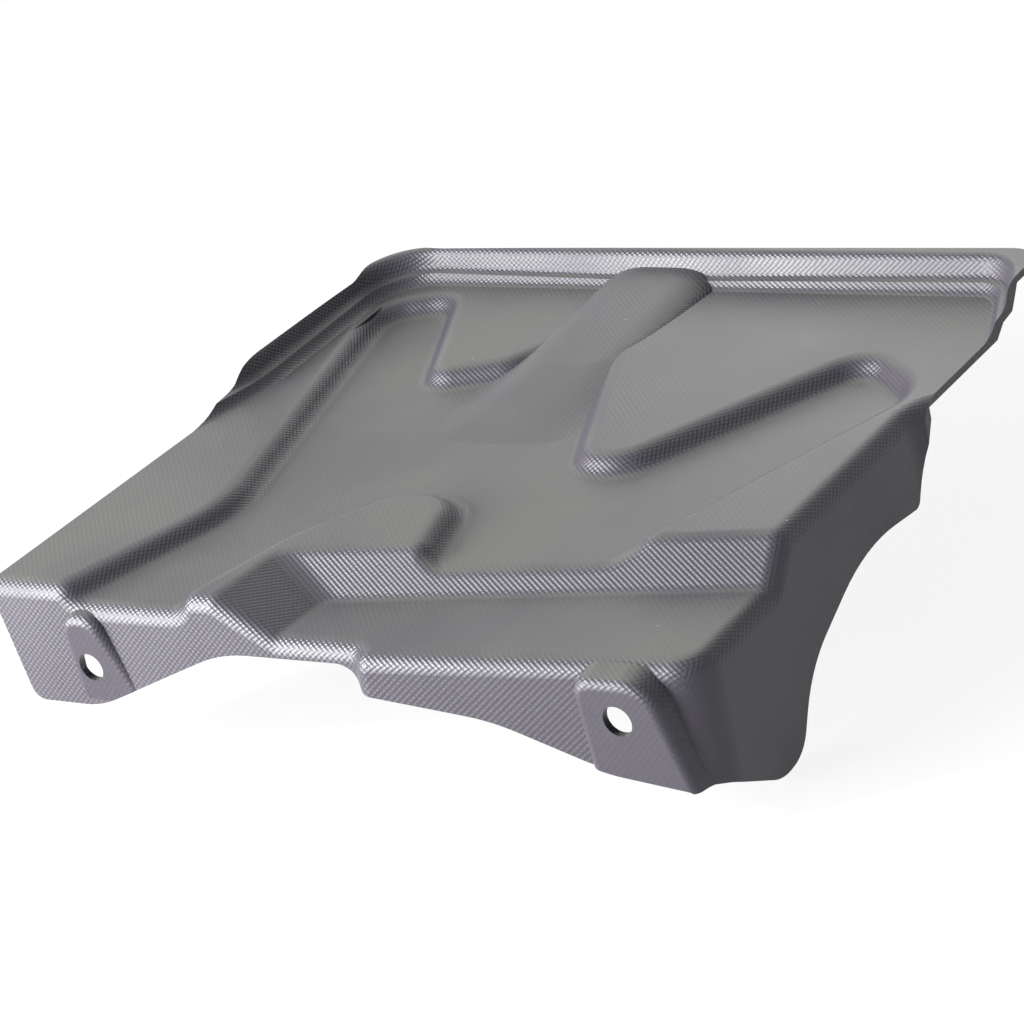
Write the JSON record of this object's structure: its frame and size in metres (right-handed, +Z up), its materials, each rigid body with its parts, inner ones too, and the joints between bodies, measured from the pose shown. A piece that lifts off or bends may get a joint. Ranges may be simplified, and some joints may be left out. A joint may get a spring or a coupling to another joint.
{
  "type": "engine splash shield",
  "caption": "Dark grained plastic engine splash shield: one formed sheet with a branched recess, a ledge, folded skirts, a raised back lip and bolt holes in the front bosses.",
  "frame": {"origin": "midway between the two bolt holes, on the flat front of their bosses", "axes": "+X to the right along the front skirt, +Y to the back lip, +Z up with the show side on top"},
  "size_m": [0.2814, 0.251, 0.0751],
  "materials": {
    "grained_plastic": "embossed diamond grain with a low sheen, paler along the trimmed edges"
  },
  "bodies": {
    "root": {"splash_shield": "grained_plastic"}
  },
  "joints": []
}
